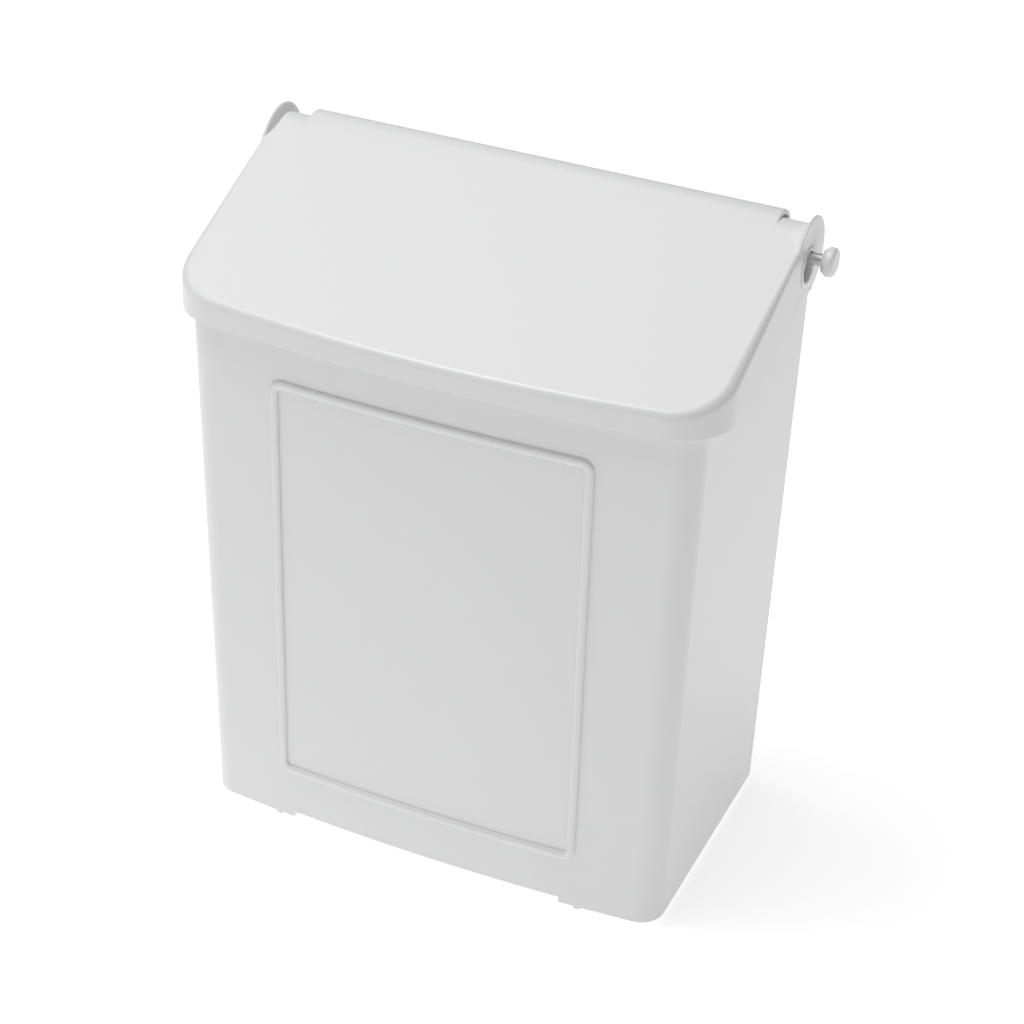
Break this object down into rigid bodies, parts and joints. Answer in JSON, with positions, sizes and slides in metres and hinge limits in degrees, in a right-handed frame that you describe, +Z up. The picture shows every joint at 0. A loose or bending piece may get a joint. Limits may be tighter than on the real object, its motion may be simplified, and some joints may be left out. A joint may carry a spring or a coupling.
{
  "type": "wall-hung waste bin",
  "caption": "Small white moulded bin for wall hanging, with a bowed framed front, a sloping hinged hood on a loose steel rod with end caps, and a lift-out liner.",
  "frame": {"origin": "centre of the four wall screw holes, on the back face", "axes": "+Y is the normal of the back face, into the wall; the front looks along -Y; +Z is up; +X is to the right seen from the front"},
  "size_m": [0.2146, 0.1108, 0.2504],
  "materials": {
    "body": "semi-gloss moulded white",
    "lid": "semi-gloss moulded white",
    "liner": "matt moulded light grey",
    "rod": "drawn steel rod",
    "cap": "semi-gloss moulded white"
  },
  "bodies": {
    "bin": {"body": "body", "liner": "liner"},
    "lid": {"lid": "lid"},
    "rod": {"hinge_rod": "rod", "cap_left": "cap", "cap_right": "cap"}
  },
  "joints": [
    {"name": "lid_hinge", "type": "hinge", "parent": "bin", "child": "lid", "pos_m": [0, -0.0225, 0.111], "axis": [-1, 0, 0], "range_deg": [0, 118]},
    {"name": "rod_slide", "type": "slide", "parent": "bin", "child": "rod", "axis": [1, 0, 0], "range_m": [-0.0039, 0.0007]}
  ]
}
